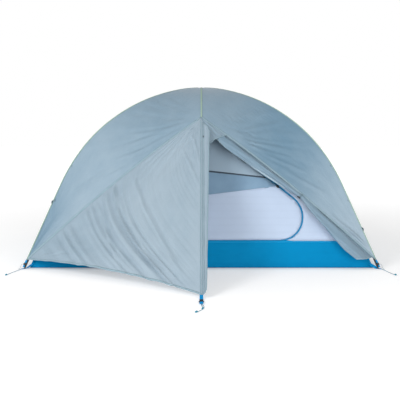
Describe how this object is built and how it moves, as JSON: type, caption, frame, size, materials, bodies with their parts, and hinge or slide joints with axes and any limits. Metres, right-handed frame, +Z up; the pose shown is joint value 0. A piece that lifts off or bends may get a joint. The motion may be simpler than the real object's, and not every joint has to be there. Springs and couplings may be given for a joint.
{
  "type": "dome tent",
  "caption": "Dome tent on crossed arch poles: blue tub floor, light inner walls with D doors, and a pale grey fly with a triangular vestibule on each long side, one half rolled open.",
  "frame": {"origin": "on the ground at the middle of the tub floor", "axes": "+Z up, X along the long side, -Y out of the front vestibule"},
  "size_m": [2.426, 4.1116, 1.2159],
  "materials": {
    "fly_fabric": "thin ripstop with a soft sheen",
    "tub_fabric": "coated taffeta",
    "wall_fabric": "light uncoated ripstop",
    "mesh_fabric": "fine insect mesh",
    "pole_alloy": "anodised lime",
    "black_plastic": "moulded",
    "webbing": "woven tape",
    "elastic": "woven elastic",
    "cord": "braided"
  },
  "bodies": {
    "tent": {"floor_tub": "tub_fabric", "front_wall_left": "wall_fabric", "front_wall_right": "wall_fabric", "rear_wall_left": "wall_fabric", "rear_wall_right": "wall_fabric", "end_wall_left": "wall_fabric", "end_wall_right": "wall_fabric", "roof_mesh": "mesh_fabric", "main_pole_front_left": "pole_alloy", "main_pole_front_right": "pole_alloy", "main_pole_rear_right": "pole_alloy", "main_pole_rear_left": "pole_alloy", "pole_tip_front_left": "black_plastic", "pole_tip_front_right": "black_plastic", "pole_tip_rear_right": "black_plastic", "pole_tip_rear_left": "black_plastic", "ridge_pole": "pole_alloy", "pole_hub": "black_plastic", "corner_strap_front_left": "webbing", "corner_strap_front_right": "webbing", "corner_strap_rear_right": "webbing", "corner_strap_rear_left": "webbing", "stake_cord_front_left": "cord", "stake_cord_front_right": "cord", "stake_cord_rear_right": "cord", "stake_cord_rear_left": "cord"},
    "front_door": {"front_inner_door": "wall_fabric"},
    "rear_door": {"rear_inner_door": "wall_fabric"},
    "front_door_slider": {"inner_slider_front": "black_plastic"},
    "rear_door_slider": {"inner_slider_rear": "black_plastic"},
    "fly": {"fly_end_left": "fly_fabric", "fly_end_right": "fly_fabric", "fly_roof_front_left": "fly_fabric", "fly_roof_front_right": "fly_fabric", "fly_roof_rear_left": "fly_fabric", "fly_roof_rear_right": "fly_fabric", "rolled_door": "fly_fabric", "door_tie": "elastic", "fly_corner_strap_front_left": "webbing", "fly_corner_strap_front_right": "webbing", "fly_corner_strap_rear_right": "webbing", "fly_corner_strap_rear_left": "webbing"},
    "buckle_front_left": {"corner_buckle_front_left": "black_plastic"},
    "buckle_front_right": {"corner_buckle_front_right": "black_plastic"},
    "buckle_rear_right": {"corner_buckle_rear_right": "black_plastic"},
    "buckle_rear_left": {"corner_buckle_rear_left": "black_plastic"},
    "toggle": {"door_toggle": "black_plastic"},
    "front_flap": {"vestibule_flap_front_left": "fly_fabric", "stake_strap_front": "webbing", "stake_cord_front": "cord"},
    "front_stake_buckle": {"stake_buckle_front": "black_plastic"},
    "front_fly_slider": {"fly_slider_front": "black_plastic"},
    "rear_flap_right": {"vestibule_flap_rear_right": "fly_fabric", "stake_strap_rear": "webbing", "stake_cord_rear": "cord"},
    "rear_stake_buckle": {"stake_buckle_rear": "black_plastic"},
    "rear_fly_slider": {"fly_slider_rear": "black_plastic"},
    "rear_flap_left": {"vestibule_flap_rear_left": "fly_fabric"}
  },
  "joints": [
    {"name": "front_door_swing", "type": "hinge", "parent": "tent", "child": "front_door", "pos_m": [-0.6, -0.83437, 0.1734], "axis": [0.5805, 0.3527, 0.7339], "range_deg": [0, 65]},
    {"name": "rear_door_swing", "type": "hinge", "parent": "tent", "child": "rear_door", "pos_m": [0.6, 0.83437, 0.1734], "axis": [-0.5805, -0.3527, 0.7339], "range_deg": [0, 65]},
    {"name": "front_door_zip", "type": "slide", "parent": "tent", "child": "front_door_slider", "axis": [0.7439, -0.2894, -0.6023], "range_m": [-0.62, 0.12]},
    {"name": "rear_door_zip", "type": "slide", "parent": "tent", "child": "rear_door_slider", "axis": [-0.7439, 0.2894, -0.6023], "range_m": [-0.62, 0.12]},
    {"name": "fly_lift", "type": "slide", "parent": "tent", "child": "fly", "axis": [0, 0, 1], "range_m": [0, 1.3]},
    {"name": "buckle_slide_front_left", "type": "slide", "parent": "fly", "child": "buckle_front_left", "axis": [-0.3676, -0.2921, -0.883], "range_m": [-0.01, 0.013]},
    {"name": "buckle_slide_front_right", "type": "slide", "parent": "fly", "child": "buckle_front_right", "axis": [0.3676, -0.2921, -0.883], "range_m": [-0.01, 0.013]},
    {"name": "buckle_slide_rear_right", "type": "slide", "parent": "fly", "child": "buckle_rear_right", "axis": [0.3676, 0.2921, -0.883], "range_m": [-0.01, 0.013]},
    {"name": "buckle_slide_rear_left", "type": "slide", "parent": "fly", "child": "buckle_rear_left", "axis": [-0.3676, 0.2921, -0.883], "range_m": [-0.01, 0.013]},
    {"name": "toggle_turn", "type": "hinge", "parent": "fly", "child": "toggle", "pos_m": [0.63985, -0.80945, 0.45701], "axis": [0, -0.8601, 0.5101], "range_deg": [-70, 70]},
    {"name": "front_flap_swing", "type": "hinge", "parent": "fly", "child": "front_flap", "pos_m": [0, -0.56, 0.985], "axis": [-0.7541, -0.2285, -0.6157], "range_deg": [0, 120]},
    {"name": "front_stake_adjust", "type": "slide", "parent": "front_flap", "child": "front_stake_buckle", "axis": [0, -1, 0], "range_m": [-0.085, 0.033]},
    {"name": "front_fly_zip", "type": "slide", "parent": "front_flap", "child": "front_fly_slider", "axis": [0, -0.7721, -0.6355], "range_m": [-0.04, 1.2]},
    {"name": "rear_flap_right_swing", "type": "hinge", "parent": "fly", "child": "rear_flap_right", "pos_m": [0, 0.56, 0.985], "axis": [0.7541, 0.2285, -0.6157], "range_deg": [0, 120]},
    {"name": "rear_stake_adjust", "type": "slide", "parent": "rear_flap_right", "child": "rear_stake_buckle", "axis": [0, 1, 0], "range_m": [-0.085, 0.033]},
    {"name": "rear_fly_zip", "type": "slide", "parent": "rear_flap_right", "child": "rear_fly_slider", "axis": [0, -0.7721, 0.6355], "range_m": [0, 1.27]},
    {"name": "rear_flap_left_swing", "type": "hinge", "parent": "fly", "child": "rear_flap_left", "pos_m": [0, 0.56, 0.985], "axis": [0.7541, -0.2285, 0.6157], "range_deg": [0, 120]}
  ]
}
